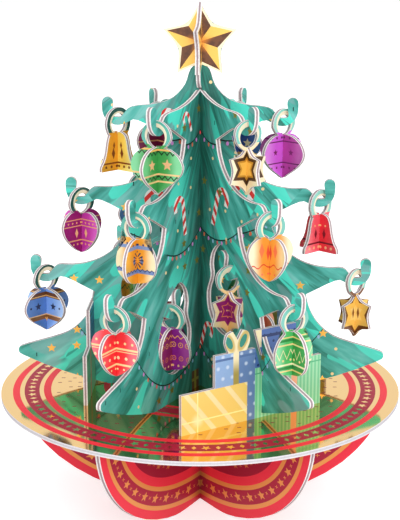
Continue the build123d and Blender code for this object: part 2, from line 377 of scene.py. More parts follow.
# the maker keeps what all parts of the print read: r is the way out from the spine, h the height
# over the disc
def startTreePrint():
    m = Maker("tree print")
    m.r, m.h = m.uv("face")
    m.seed, m.tone = m.uv("wing")
    m.lean = m.uv("across")[1]
    m.onLeft = m.less(m.lean, lights["leftLean"])
    m.lines = [stringHeight(m, m.r, index) for index in range(len(lightStrings))]
    # which tier a point is in, and the fan of strokes that comes down from that tier's top
    steps = [m.less(m.h, line) for line in m.lines]
    tier = m.add(m.add(steps[0], steps[1]), steps[2])
    outward = m.add(m.r, fir["fanShift"])
    downward = m.sub(m.sub(fir["fanTop"], m.mul(tier, tree["tierDrop"])), m.h)
    m.fan = m.calc("ARCTAN2", outward, downward)
    m.fanReach = m.reach(outward, downward)
    m.fine = strokes(m, *fir["fine"])
    return m


# a string hangs in two half parabolas that meet at its lowest point
def stringHeight(m, r, index):
    top, lowR, low, endR, end = lightStrings[index]
    offset = m.sub(r, lowR)
    inner = m.calc("MAXIMUM", m.mul(offset, -1.0), 0.0)
    outer = m.calc("MAXIMUM", offset, 0.0)
    inwards = m.mul(m.mul(inner, inner), (top - low) / lowR**2)
    outwards = m.mul(m.mul(outer, outer), (end - low) / (endR - lowR) ** 2)
    height = m.add(m.add(inwards, outwards), low)
    return m.add(height, m.mul(r, m.lean)) if index == lights["leaning"] else height


def strokes(m, turn, length, shift, detail):
    place = m.add(m.mul(m.seed, fir["wingLift"]), shift)
    vector = m.join(m.mul(m.fan, turn), m.mul(m.fanReach, length), place)
    return m.noise(vector, 1.0, detail, 0.6)


def firColour(m):
    broad = strokes(m, *fir["broad"])
    share = fir["fineShare"]
    mixed = m.add(m.mul(m.fine, share), m.mul(broad, 1 - share))
    # painted light: the more lit wings take lighter steps of the ramp
    mixed = m.add(mixed, m.mul(m.sub(m.tone, 0.5), fir["paintedLightReach"]))
    colour = m.ramp(mixed, [(place, fir[name]) for place, name in fir["steps"]])
    grey = m.smooth(strokes(m, *fir["greyStrokes"]), *fir["greyEdge"])
    colour = m.mix(grey, colour, fir["grey"])
    bright = m.smooth(strokes(m, *fir["brightStrokes"]), *fir["brightEdge"])
    bright = m.mul(bright, m.smooth(m.r, *fir["brightReach"]))
    colour = m.mix(bright, colour, fir["bright"])
    thin = m.smooth(strokes(m, *fir["thinStrokes"]), *fir["thinEdge"])
    return m.mix(thin, colour, m.mix(m.more(broad, 0.5), fir["dark"], fir["bright"]))


# painted shade: darker under each tier, near the spine and low down, and less of it on the more lit wings
def shaded(m, colour):
    dark = m.smooth(m.r, *fir["spineShade"])
    wide, wider, narrow = fir["tierShadeReach"]
    for index, line in enumerate(m.lines):
        below = m.sub(line, m.h)
        near = m.smooth(m.r, wide + wider * index, narrow)
        under = m.both(m.more(below, 0.0), m.smooth(below, *fir["tierShade"]), near)
        dark = m.either(dark, under)
    near = m.smooth(m.r, *fir["footShadeReach"])
    dark = m.either(dark, m.both(m.smooth(m.h, *fir["footShade"]), near))
    dark = m.mul(dark, m.smooth(m.tone, 0.3, 1.0, 1.0, 0.75))
    deep = m.mix(m.smooth(m.fine, 0.4, 0.62), fir["deep"], fir["dark"])
    return m.mix(dark, colour, deep)


# a small printed parcel at the foot of the spine, its brown paper and foil ribbon darkened as painted shade
def withParcel(m, colour):
    near, far, high = parcel["near"], parcel["far"], parcel["high"]
    onParcel = m.both(m.within(m.r, near, far), m.less(m.h, high), m.onLeft)
    upright = m.near(m.r, (near + far) / 2, parcel["ribbon"][0])
    level = m.near(m.h, high / 2, parcel["ribbon"][1])
    paper = m.mix(m.either(upright, level), parcel["paper"], scatter["shadedFoil"])
    return m.mix(onParcel, colour, paper)


def withLights(m, colour):
    pitch = lights["pitch"]
    for index, line in enumerate(lightStrings):
        inside = m.less(m.r, line[3])
        onWire = m.both(m.near(m.h, m.lines[index], lights["wireHalf"]), inside)
        colour = m.mix(onWire, colour, lights["wire"])
        cell = m.calc("FLOOR", m.div(m.r, pitch))
        centre = m.mul(m.add(cell, 0.5), pitch)
        hang = m.add(m.sub(m.h, stringHeight(m, centre, index)), lights["drop"])
        away = m.reach(m.sub(m.r, centre), m.mul(hang, 0.7))
        pick = m.calc("FRACT", m.mul(m.add(cell, index + 0.5), 0.382))
        bulb = m.ramp(pick, lights["bulbs"], "CONSTANT")
        colour = m.mix(m.both(m.less(away, lights["radius"]), inside), colour, bulb)
    return colour


def withCanes(m, colour):
    onRight = m.sub(1.0, m.onLeft)
    lap = 0.0001
    for acrossAt, upAt, crookRadius, stemLength, half, leanBy, left in canes:
        dx = m.sub(m.r, acrossAt)
        dy = m.sub(m.h, upAt)
        cosine, sine = math.cos(leanBy), math.sin(leanBy)
        x = m.add(m.mul(dx, cosine), m.mul(dy, -sine))
        y = m.add(m.mul(dy, cosine), m.mul(dx, sine))
        crook = m.both(m.near(m.reach(x, y), crookRadius, half), m.more(y, 0.0))
        stem = m.both(m.near(x, -crookRadius, half), m.within(y, -stemLength, lap))
        tail = m.both(m.near(x, crookRadius, half), m.within(y, -canePrint["tail"], lap))
        slanted = m.add(y, m.mul(x, canePrint["slant"]))
        stripe = m.more(m.calc("FRACT", m.mul(slanted, canePrint["stripes"])), 0.5)
        cane = m.mul(m.either(crook, stem, tail), m.onLeft if left else onRight)
        colour = m.mix(cane, colour, m.mix(stripe, canePrint["white"], canePrint["red"]))
    return colour


def withScatter(m, colour):
    across = m.add(m.r, m.mul(m.seed, 0.31))
    chance, dx, dy = m.cells(across, m.h, scatter["cells"], 0.7)
    stars = m.both(m.star(dx, dy, scatter["starSize"]), m.more(chance, scatter["starsFrom"]))
    inDot = m.less(m.reach(dx, dy), scatter["dotRadius"])
    dots = m.both(inDot, m.less(chance, scatter["dotsTo"]))
    wide, tall = scatter["dashHalf"]
    picked = m.within(chance, scatter["dotsTo"], scatter["dashesTo"])
    dashes = m.both(m.less(m.size(dx), wide), m.less(m.size(dy), tall), picked)
    colour = m.mix(dashes, colour, scatter["dash"])
    colour = m.mix(dots, colour, scatter["dot"])
    # painted shade: the less lit wings take the darkened foil
    foil = m.mix(m.more(m.tone, scatter["shadedFoilBelow"]), scatter["shadedFoil"], scatter["foil"])
    return m.mix(stars, colour, foil), stars


# rings that follow the rim of the foot's lobes, with two rows of stars, and painted shade towards the spine
def lobeColour(m):
    below = m.mul(m.h, -1.0)
    sx = m.div(m.r, lobes["semiWidth"])
    sy = m.div(below, lobes["semiHeight"])
    inset = m.mul(m.reach(m.r, below), m.sub(m.div(1.0, m.reach(sx, sy)), 1.0))
    bands = lobes["bands"]
    colour = lobes["red"]
    for limit, name in zip(bands, lobes["bandColours"]):
        colour = m.mix(m.more(inset, limit), colour, lobes[name])
    foil = m.either(m.within(inset, bands[0], bands[1]), m.within(inset, bands[2], bands[3]))
    angle = m.calc("ARCTAN2", sy, sx)
    sine = m.calc("SINE", angle)
    cosine = m.calc("COSINE", angle)
    thin, tall = lobes["cross"]
    for middle, length, size, strength in lobes["starRows"]:
        pitch = lobes["starPitch"] * (0.5 + size / 2)
        u = m.repeat(m.mul(angle, length), pitch)
        v = m.sub(middle, inset)
        # each star stands upright on the wing, whatever the rim's turn there
        tx = m.sub(m.mul(u, sine), m.mul(v, cosine))
        ty = m.add(m.mul(u, cosine), m.mul(v, sine))
        between = m.size(m.sub(m.size(u), pitch / 2))
        cross = m.both(m.near(between, m.size(v), thin), m.less(m.size(v), tall))
        mark = m.either(m.star(tx, ty, lobes["starSize"] * size), cross)
        colour = m.mix(m.mul(mark, strength), colour, lobes["line"])
        foil = m.either(foil, mark)
    # painted shade: darker towards the spine
    return m.mix(m.smooth(m.r, 0.016, 0.001, 0.0, 0.55), colour, lobes["spineShade"]), foil


def makeTreePrint():
    m = startTreePrint()
    colour = firColour(m)
    for layer in (shaded, withParcel, withLights, withCanes):
        colour = layer(m, colour)
    colour, stars = withScatter(m, colour)
    lobe, lobeFoil = lobeColour(m)
    onLobe = m.less(m.h, lobes["top"])
    starMetal = m.mul(m.sub(1.0, onLobe), m.mul(stars, 0.35))
    metal = m.add(m.mul(onLobe, m.mul(lobeFoil, 0.15)), starMetal)
    grain = m.noise(m.place(), 1400.0)
    m.bump(grain, 0.08, 0.00003)
    m.shader.inputs["Specular IOR Level"].default_value = 0.3
    roughness = m.sub(m.smooth(grain, 0.2, 0.8, 0.42, 0.52), m.mul(metal, 0.4))
    return m.finish(m.mix(onLobe, colour, lobe), roughness, metal)


# Gold mirror foil of the disc, with its printed rings
disc = {
    "foil": "#f2c982",
    "red": "#ff3040",
    "redBands": ((0.0902, 0.0946), (0.1088, 0.113), (0.0415, 0.0445), (0.0545, 0.0585)),
    "wine": "#b41d3a",
    "wineBand": (0.0972, 0.1061),
    "footBand": (0.0455, 0.0532),
    "starCount": 49,
    "starSize": 0.0028,
    "diamondSize": 0.0022,
    "tick": "#8c2f36",
    "tickBand": (0.061, 0.087),
    "tickHalf": (0.0011, 0.0004),
    "underside": "#b32a38",
}


def makeDiscPrint():
    m = Maker("disc print")
    x, y = m.split(m.place())[:2]
    reach = m.reach(x, y)
    red = m.either(*[m.within(reach, *band) for band in disc["redBands"]])
    # stars and diamonds of bare foil, by turns, round the wine band
    middle = sum(disc["wineBand"]) / 2
    pitch = math.tau * middle / disc["starCount"]
    u = m.repeat(m.mul(m.add(m.calc("ARCTAN2", y, x), math.pi), middle), pitch)
    v = m.sub(reach, middle)
    stars = m.star(u, v, disc["starSize"])
    between = m.size(m.sub(m.size(u), pitch / 2))
    diamond = m.less(m.add(m.mul(between, 1.6), m.size(v)), disc["diamondSize"])
    wine = m.both(m.within(reach, *disc["wineBand"]), m.sub(1.0, m.either(stars, diamond)))
    wine = m.either(wine, m.within(reach, *disc["footBand"]))
    # small dark dashes between the rings
    chance, dx, dy = m.cells(x, m.mul(y, 0.8), 150.0, 0.5)
    wide, thin = disc["tickHalf"]
    picked = m.both(m.within(reach, *disc["tickBand"]), m.less(chance, 0.85))
    tick = m.both(m.less(m.size(dx), wide), m.less(m.size(dy), thin), picked)
    colour = disc["foil"]
    for mask, name in ((red, "red"), (wine, "wine"), (tick, "tick")):
        colour = m.mix(mask, colour, disc[name])
    printed = m.either(red, wine, tick)
    m.bump(m.noise(m.place(), 18.0, 1.0), 0.03, 0.0004)
    m.shader.inputs["Specular IOR Level"].default_value = 0.12
    metal = m.sub(1.0, m.mul(printed, 0.9))
    return m.finish(colour, m.smooth(printed, 0.0, 1.0, 0.08, 0.4), metal)


def makePlainPrint(name, code):
    m = Maker(name)
    grain = m.noise(m.place(), 1200.0)
    m.bump(grain, 0.1, 0.00004)
    return m.finish(m.tint(code, m.smooth(grain, 0.3, 0.7, 0.94, 1.0)), 0.5)


# Star: each arm has a light and a dark half, printed on foil
topStar = {
    "light": "#fdca60",
    "dark": ("#70462c", "#5a3826"),
    "rim": "#fff0cc",
    "rimShares": (0.9, 1.06),
    "glow": "#e8902c",
    "stem": "#3f9a8c",
    "size": 0.022,
    "waist": 12 / 22,
    "points": 5,
    "card": 0.0026,
    "azimuths": {"star_wide_plate": -7.0, "star_deep_plate": 83.0},
}


def makeStarPrint():
    m = Maker("star print")
    u, v = m.uv("face")
    share = m.starShare(u, v, topStar["size"], topStar["waist"], topStar["points"])
    turned = m.div(m.add(m.calc("ARCTAN2", u, v), math.tau), math.tau / topStar["points"])
    darkHalf = m.less(m.calc("FRACT", turned), 0.5)
    grain = m.noise(m.place(), 260.0, 3.0)
    brown = m.mix(m.smooth(grain, 0.4, 0.6), *topStar["dark"])
    colour = m.mix(darkHalf, topStar["light"], brown)
    colour = m.mix(m.smooth(share, 0.5, 0.05, 0.0, 0.75), colour, topStar["glow"])
    colour = m.mix(m.within(share, *topStar["rimShares"]), colour, topStar["rim"])
    inStar = m.less(share, topStar["rimShares"][1])
    m.bump(grain, 0.08, 0.00004)
    return m.finish(m.mix(inStar, topStar["stem"], colour), 0.3, m.mul(inStar, 0.25))


# Gifts printed side by side on one card. Boxes are their left and right edges along it, and their
# top; lines are their place and half width
gift = {
    "radius": 0.065,
    "card": 0.0024,
    "bag": ("#4f70b4", "#22386e"),
    "bagHem": (0.0478, 0.0009),
    "blueBox": (-0.033, -0.0062, 0.0418),
    "blue": ("#90b2e0", "#6786ba"),  # left and right of its ribbon
    "blueDot": "#d6e6fb",
    "lid": "#5674a8",
    "lidLine": (0.0388, 0.0007),
    "ribbon": "#a8984c",
    "ribbonHalf": 0.0019,
    "bow": ("#fdeec4", "#d9bd74"),
    "bowLoop": (0.0021, 0.0037),
    "behindBow": "#3f9486",
    "greenBox": (-0.0062, 0.0405, 0.030),
    "green": ("#76cf9b", "#a2e2b6"),
    "greenLid": "#57b886",
    "greenLidLine": (0.0265, 0.0004),
    "greenRibbon": "#f6b48c",
    "greenRibbonLine": (0.0215, 0.0021),
    "goldBox": (-0.055, -0.0115, 0.0231),
    "gold": ("#f7d674", "#fdebb4"),
    "shine": "#fff9a8",
    "shineAt": (-0.0445, 0.0068),
    "shineHalf": 0.0004,
    "spark": "#fff9c0",
}


# distance from the nearest of a field of dots, each row half a pitch along from the last
def dotAway(m, t, z, pitch):
    row = m.calc("FLOOR", m.div(z, pitch))
    return m.reach(m.repeat(m.add(t, m.mul(row, pitch / 2)), pitch), m.repeat(z, pitch))


def bluePrint(m, t, z, middle):
    colour = m.mix(m.more(t, middle), *gift["blue"])
    dots = m.smooth(dotAway(m, t, z, 0.0062), 0.0016, 0.0004, 0.0, 0.8)
    colour = m.mix(dots, colour, gift["blueDot"])
    colour = m.mix(m.near(z, *gift["lidLine"]), colour, gift["lid"])
    ribbon = m.mix(m.smooth(z, 0.0395, 0.0285), gift["bow"][0], gift["ribbon"])
    return m.mix(m.near(t, middle, gift["ribbonHalf"]), colour, ribbon)


# two open loops that lean outwards
def bowPrint(m, t, z, middle):
    wide, tall = gift["bowLoop"]
    up = m.sub(z, gift["blueBox"][2] + 0.006)
    across = m.sub(m.sub(m.size(m.sub(t, middle)), 0.0047), m.mul(up, 0.35))
    loop = m.reach(m.div(across, wide), m.div(up, tall))
    colour = m.mix(m.smooth(loop, 1.25, 1.9), gift["bow"][1], gift["bow"][0])
    return m.mix(m.less(loop, 1.0), colour, gift["behindBow"])


def greenPrint(m, t, z):
    stripe = m.smooth(m.size(m.repeat(t, 0.0026)), 0.0004, 0.0009)
    colour = m.mix(stripe, gift["green"][1], gift["green"][0])
    colour = m.mix(m.near(z, *gift["greenLidLine"]), colour, gift["greenLid"])
    return m.mix(m.near(t, *gift["greenRibbonLine"]), colour, gift["greenRibbon"])


def goldPrint(m, t, z):
    slant = m.size(m.repeat(m.add(t, m.mul(z, 0.8)), 0.0135))
    colour = m.mix(m.smooth(slant, 0.0022, 0.0014, 0.0, 0.9), *gift["gold"])
    along, up = gift["shineAt"]
    half = gift["shineHalf"]
    colour = m.mix(m.either(m.near(z, up, half), m.near(t, along, half)), colour, gift["shine"])
    spark = m.reach(m.sub(t, along), m.sub(z, up))
    return m.mix(m.smooth(spark, 0.0055, 0.0, 0.0, 0.9), colour, gift["spark"])


def makeGiftPrint():
    m = Maker("gift print")
    t, z = m.uv("face")
    colour = m.mix(m.less(dotAway(m, t, z, 0.0042), 0.0008), *gift["bag"])
    colour = m.mix(m.near(z, *gift["bagHem"]), colour, gift["bag"][1])
    low, high, top = gift["blueBox"]
    middle = (low + high) / 2 + 0.0005
    colour = m.mix(m.within(t, low - 0.001, high), colour, bluePrint(m, t, z, middle))
    onBow = m.both(m.more(z, top), m.less(t, -0.002))
    colour = m.mix(onBow, colour, bowPrint(m, t, z, middle))
    low, high, top = gift["greenBox"]
    colour = m.mix(m.both(m.more(t, low), m.less(z, top)), colour, greenPrint(m, t, z))
    low, high, top = gift["goldBox"]
    colour = m.mix(m.both(m.less(t, high), m.less(z, top)), colour, goldPrint(m, t, z))
    m.bump(m.noise(m.place(), 900.0), 0.1, 0.00004)
    return m.finish(colour, 0.38, 0.08)


# Ornaments: half width and height of each kind's body, and the width that its card was cut to
bodySizes = {
    "bell": (0.014, 0.0223, 0.015),
    "heart": (0.0153, 0.0255, 0.0133),
    "bauble": (0.0169, 0.027, 0.0164),
    "egg": (0.0128, 0.0255, 0.0128),
    "star": (0.0134, 0.0275, 0.013),
}
cardSizes = {
    "height": 0.0255,
    "ringUp": 0.0059,  # the ring's middle above the body's top
    "ringOuter": 0.0086,
    "ringInner": 0.0056,
    "ringSink": 0.0005,  # a wider ring hangs this much lower
    "bodyRise": 0.0005,
}
# How far below its top a kind's ring is still seen, where the body is notched
ringReach = {"heart": 0.0036}
# How far the ring plates are turned from their wing: square to it, but for those at the sides
ringTurns = {"right": 49.0, "left": 49.0, "others": 90.0}
ornamentCard = 0.0024
ringPrint = {
    "right": "#8fcfc0",
    "back_right": "#6fb3a6",
    "back_left": "#5d9f93",
    "left": "#2f5a52",
    "front_left": "#5fb5a5",
    "front_right": "#7cc4b8",
    "rim": "#f3e6c8",
    "rimWidth": 0.0009,
    "middle": 0.0049,  # of the ring above the body's top
    "outer": 0.0097,
    "inner": 0.0061,
    "lap": 0.0003,
}
# painted light: a body's colour turns from deeper, painted shade near the crease to paler, painted
# reflection far out
shadeToPaleShares = (0.35, 0.85)  # of the half width, between which a body's colour turns
markStar = {"waist": 0.62, "points": 6}
# The plate colours hold each ornament's own hue and painted light: one plate lit and the other shaded, each
# deeper near the axis as painted shade and paler far out as painted reflection of white surroundings
# Each ornament: colours of the ring plate and of the cross plate, each near the axis and far out,
# and its marks: kind, height share of the body, then the kind's own sizes in millimetres and colour
ornamentLooks = {
    "bell_left_1": (
        ("#efa02c", "#f7ae3a"), ("#ffe05e", "#fff08a"),
        ("band", 0.2, 0.5, "#8a4a1e"), ("dots", 0.11, 4.2, 0.8, "#7c3f1c"),
        ("leaf", 0.45, 4.6, 3.4, 1.3, "#7c3f1c"), ("leaf", 0.66, 4.0, 2.2, 0.9, "#8a4a1e"),
    ),
    "heart_left_2": (
        ("#9a1a6e", "#ab247e"), ("#c93bab", "#dc5cc6"),
        ("band", 0.79, 0.3, "#f0b27a"), ("band", 0.64, 0.3, "#f0b27a"),
        ("dots", 0.715, 3.2, 0.6, "#f0b27a"), ("band", 0.3, 0.35, "#f0b27a"),
        ("dots", 0.21, 3.0, 0.6, "#f0b27a"), ("leaf", 0.47, 5.0, 3.0, 1.2, "#f4c08a"),
    ),
    "bauble_left_3": (
        ("#5680c4", "#6c92d2"), ("#86b4fb", "#a8cdff"),
        ("band", 0.83, 1.6, "#6a3f22"), ("band", 0.8, 0.3, "#e9b36a"), ("star", 0.58, 7.4, 2.6, "#2e3350"),
        ("dot", 0.57, 13.0, 0.7, "#2e3350"), ("band", 0.31, 1.3, "#8a5a30"), ("band", 0.37, 0.3, "#f3c58a"),
        ("wedge", 0.3, 4.4, 2.0, "#e9b36a"),
    ),
    "egg_left_4": (
        ("#b9822a", "#d8a648"), ("#5fa068", "#76b87a"),
        ("band", 0.4, 0.4, "#e9c070"), ("dots", 0.55, 4.0, 0.7, "#5b3a18"),
    ),
    "bauble_front_left_1": (
        ("#46a655", "#8adfa4"), ("#3f9f50", "#74d090"),
        ("zigzag", 0.84, 1.0, 3.6, 0.55, "#1d3b22"), ("band", 0.9, 0.5, "#f4bd6c"),
        ("star", 0.6, 7.2, 3.4, "#f6b98a"), ("zigzag", 0.33, 1.0, 3.8, 0.5, "#1d3b22"),
        ("band", 0.4, 0.5, "#f4c98e"), ("band", 0.25, 0.5, "#f4c98e"),
    ),
    "egg_front_left_2": (
        ("#efa630", "#fdf0c2"), ("#e89a26", "#f6b843"),
        ("band", 0.8, 1.0, "#7d96c4"), ("dots", 0.86, 3.4, 0.6, "#27406e"),
        ("leaf", 0.5, 4.2, 2.6, 1.1, "#5e7fb8"), ("fan", 0.52, 5.2, "#1f3358"),
        ("band", 0.27, 1.1, "#7089bd"), ("zigzag", 0.3, 0.7, 3.0, 0.3, "#24365c"),
    ),
    "heart_front_left_3": (
        ("#ef353c", "#ff7484"), ("#ee3038", "#fb5866"),
        ("band", 0.62, 0.55, "#fbdfa0"), ("band", 0.56, 0.25, "#fbdfa0"),
        ("dots", 0.75, 4.6, 0.75, "#fbdfa0"), ("dots", 0.42, 5.0, 0.9, "#fbe6b4"),
        ("band", 0.27, 0.55, "#fbdfa0"), ("dots", 0.17, 4.0, 0.6, "#fbdfa0"),
    ),
    "egg_front_left_4": (
        ("#8a1f92", "#b048a8"), ("#8f1f62", "#a03078"),
        ("rings", 0.62, 4.6, 1.6, "#efb04c"), ("rings", 0.3, 4.8, 1.5, "#e8894a"),
        ("wave", 0.8, 0.7, 4.0, 0.35, "#f3b65c"), ("dots", 0.12, 3.6, 0.7, "#f7c98a"),
    ),
    "star_front_right_1": (
        ("#fbe2b6", "#fdeecb"), ("#fbe2b6", "#fdeecb"),
        ("starField", 0.49, 11.8, "#4f3114"), ("starField", 0.49, 8.6, "#c98f2f"),
        ("starField", 0.49, 6.8, "#f0bd52"),
    ),
    "heart_front_right_2": (
        ("#f2a03c", "#fdf0cc"), ("#f4ac44", "#fbe0a6"),
        ("leaf", 0.7, 6.4, 4.4, 1.8, "#ef7f52"), ("leaf", 0.64, 2.2, 4.6, 1.1, "#e2553c"),
        ("wave", 0.36, 0.9, 7.0, 0.35, "#d9432f"), ("leaf", 0.3, 0.0, 4.2, 1.5, "#d9482f"),
        ("dots", 0.18, 4.0, 0.6, "#ef6a50"),
    ),
    "egg_front_right_3": (
        ("#4fbf6a", "#8fe0a8"), ("#3d9c49", "#48b25e"),
        ("band", 0.86, 0.35, "#f3d48a"), ("band", 0.8, 0.7, "#2f8a45"), ("band", 0.7, 0.45, "#f6dc9a"),
        ("zigzag", 0.49, 2.6, 5.0, 0.45, "#f8e9b8"), ("dots", 0.36, 5.0, 0.7, "#f6dc9a"),
        ("band", 0.26, 0.5, "#fbf0c4"), ("band", 0.19, 0.8, "#2f8a45"), ("band", 0.12, 0.4, "#f3d48a"),
    ),
    "star_front_right_4": (
        ("#f3c98a", "#f8e2ba"), ("#f0c07a", "#f6d8a6"),
        ("starField", 0.5, 11.4, "#8f1c6c"), ("starLine", 0.5, 6.8, 0.12, "#e88a4a"),
        ("dots", 0.5, 4.0, 0.5, "#f2b878"),
    ),
    "bauble_right_1": (
        ("#d963e2", "#e68cec"), ("#b8479c", "#cb68b6"),
        ("band", 0.8, 0.35, "#6a2a5c"), ("dots", 0.88, 4.2, 0.7, "#6a2a5c"),
        ("leaf", 0.56, 0.0, 3.4, 1.3, "#a8741c"), ("star", 0.57, 7.4, 2.0, "#7a2a64"),
        ("band", 0.34, 0.35, "#6a2a5c"), ("dots", 0.24, 4.2, 0.7, "#7a2a64"),
    ),
    "bell_right_2": (
        ("#f8616f", "#fb8890"), ("#ea3340", "#f04c58"),
        ("band", 0.24, 0.5, "#6a1824"), ("leaf", 0.48, 4.6, 3.2, 1.2, "#7a1c28"),
        ("dots", 0.7, 3.6, 0.6, "#f7c58a"), ("dots", 0.12, 4.0, 0.9, "#f7b88a"),
    ),
    "star_right_3": (
        ("#7a4a22", "#7a4a22"), ("#7a4a22", "#7a4a22"),
        ("starField", 0.48, 12.8, "#f6c862"), ("starField", 0.48, 7.0, "#fbd884"),
        ("leaf", 0.5, 3.2, 3.6, 1.0, "#8a5626"), ("dots", 0.5, 30.0, 0.9, "#8a5626"),
    ),
    "heart_right_4": (
        ("#ef6a50", "#f7a07a"), ("#d94a3c", "#f08a6a"),
        ("band", 0.62, 0.5, "#fbdfa0"), ("dots", 0.45, 4.6, 0.8, "#fbdfa0"),
    ),
    "bauble_back_right_1": (
        ("#2e4c8c", "#5276b8"), ("#3a5c9e", "#7ca0da"),
        ("band", 0.8, 0.8, "#c9a468"), ("star", 0.56, 7.2, 3.0, "#e9d3a0"), ("band", 0.32, 0.8, "#c9a468"),
    ),
    "egg_back_right_2": (
        ("#7a1840", "#a83a60"), ("#6a1436", "#94305a"),
        ("zigzag", 0.55, 1.8, 4.4, 0.5, "#e9b070"), ("band", 0.78, 0.5, "#e9b070"),
        ("band", 0.28, 0.5, "#e9b070"),
    ),
    "heart_back_right_3": (
        ("#d8953a", "#f3cf86"), ("#c9842c", "#e9bd6c"),
        ("band", 0.6, 0.5, "#7a3a1c"), ("dots", 0.42, 4.4, 0.8, "#7a3a1c"), ("band", 0.27, 0.4, "#7a3a1c"),
    ),
    "star_back_right_4": (
        ("#3f9a5c", "#8fd6a0"), ("#2f8a4c", "#7ac890"),
        ("starLine", 0.5, 11.8, 0.08, "#f3d48a"), ("dots", 0.5, 4.2, 0.7, "#f3d48a"),
    ),
    "heart_back_left_1": (
        ("#8c1f4c", "#b84a76"), ("#7a1840", "#a83a66"),
        ("band", 0.6, 0.4, "#f0b27a"), ("dots", 0.44, 4.2, 0.7, "#f0b27a"), ("band", 0.28, 0.4, "#f0b27a"),
    ),
    "bauble_back_left_2": (
        ("#3f62a8", "#6d92d4"), ("#34549a", "#5c80c6"),
        ("band", 0.8, 0.6, "#e9c88a"), ("dots", 0.56, 5.0, 1.1, "#e9d3a0"), ("band", 0.33, 0.6, "#e9c88a"),
    ),
    "egg_back_left_3": (
        ("#c8963a", "#8fbf6a"), ("#b98a2c", "#6fae58"),
        ("wave", 0.66, 1.0, 5.0, 0.5, "#2f6a3a"), ("dots", 0.46, 4.4, 0.8, "#f6dc9a"),
        ("wave", 0.28, 1.0, 5.0, 0.5, "#2f6a3a"),
    ),
    "star_back_left_4": (
        ("#d8323c", "#f2707a"), ("#c4262f", "#e65c66"),
        ("starLine", 0.5, 11.8, 0.08, "#fbdfa0"), ("starLine", 0.5, 6.2, 0.12, "#fbdfa0"),
    ),
}


def markMask(m, kind, u, v, height, sizes):
    across = m.size(u)
    dy = m.sub(v, height)
    if kind == "band":
        return m.less(m.size(dy), sizes[0])
    if kind == "wave":
        swing, pitch, half = sizes
        line = m.mul(m.calc("SINE", m.mul(u, math.tau / pitch)), swing)
        return m.near(dy, line, half)
    if kind == "zigzag":
        swing, pitch, half = sizes
        saw = m.sub(m.mul(m.calc("PINGPONG", u, pitch / 2), 4 * swing / pitch), swing)
        return m.near(dy, saw, half)
    if kind == "dots":
        pitch, radius = sizes
        return m.less(m.reach(m.repeat(u, pitch), dy), radius)
    if kind == "dot":
        offset, radius = sizes
        return m.less(m.reach(m.sub(across, offset), dy), radius)
    if kind == "rings":
        pitch, radius = sizes
        away = m.reach(m.repeat(u, pitch), dy)
        return m.either(m.within(away, radius * 0.72, radius), m.less(away, radius * 0.25))
    if kind == "leaf":
        offset, tall, wide = sizes
        sideways = m.div(m.size(m.sub(across, offset)), wide)
        return m.less(m.add(sideways, m.div(m.size(dy), tall)), 1.0)
    if kind == "star":
        offset, size = sizes
        return m.star(m.sub(across, offset), dy, size)
    if kind == "wedge":
        tall, wide = sizes
        side = m.mul(m.add(dy, tall), wide / tall)
        return m.both(m.less(dy, 0.0), m.near(across, side, 0.0004))
    if kind == "fan":
        radius = sizes[0]
        rays = m.size(m.repeat(m.calc("ARCTAN2", u, dy), math.tau / 14))
        return m.both(m.less(rays, 0.09), m.within(m.reach(u, dy), radius * 0.45, radius))
    if kind == "starField":
        return m.star(u, dy, sizes[0], **markStar)
    # the last kind is a star's outline, whose second size is a share of the star and no length
    size, share = sizes
    return m.within(m.starShare(u, dy, size, **markStar), 1.0 - share * 1000, 1.0)


def makeOrnamentPrint(name, kind, wing, look):
    ringInkAndShade, crossInkAndShade, *marks = look
    half, tall = bodySizes[kind][:2]
    m = Maker(name.replace("_", " ") + " print")
    u, v = m.uv("face")
    plate = m.uv("wing")[0]
    # painted light: the ring plate and cross plate are lit differently, each deeper near the crease and
    # paler far out
    start, full = shadeToPaleShares
    outwards = m.smooth(m.size(u), start * half, full * half)
    colour = m.mix(plate, m.mix(outwards, *ringInkAndShade), m.mix(outwards, *crossInkAndShade))
    shimmer = m.noise(m.place(), 90.0)
    colour = m.tint(colour, m.smooth(shimmer, 0.3, 0.7, 0.88, 1.0))
    for markKind, share, *sizes, code in marks:
        metres = [size / 1000 for size in sizes]
        colour = m.mix(markMask(m, markKind, u, v, share * tall, metres), colour, code)
    away = m.reach(u, m.sub(v, tall + ringPrint["middle"]))
    dip = m.calc("MAXIMUM", m.sub(ringReach.get(kind, 0.0), m.size(u)), 0.0)
    onRing = m.both(m.more(m.add(v, dip), tall), m.less(away, ringPrint["outer"] + ringPrint["lap"]))
    rim = m.less(away, ringPrint["inner"] + ringPrint["rimWidth"])
    colour = m.mix(onRing, colour, m.mix(rim, ringPrint[wing], ringPrint["rim"]))
    m.bump(m.noise(m.place(), 900.0), 0.06, 0.00003)
    return m.finish(colour, 0.28, m.smooth(onRing, 0.0, 1.0, 0.18, 0.05))


printedFrom = 0.7  # how nearly a printed face looks along its sheet's normal


def isPrinted(polygon, normal):
    return abs(polygon.normal.dot(normal)) > printedFrom


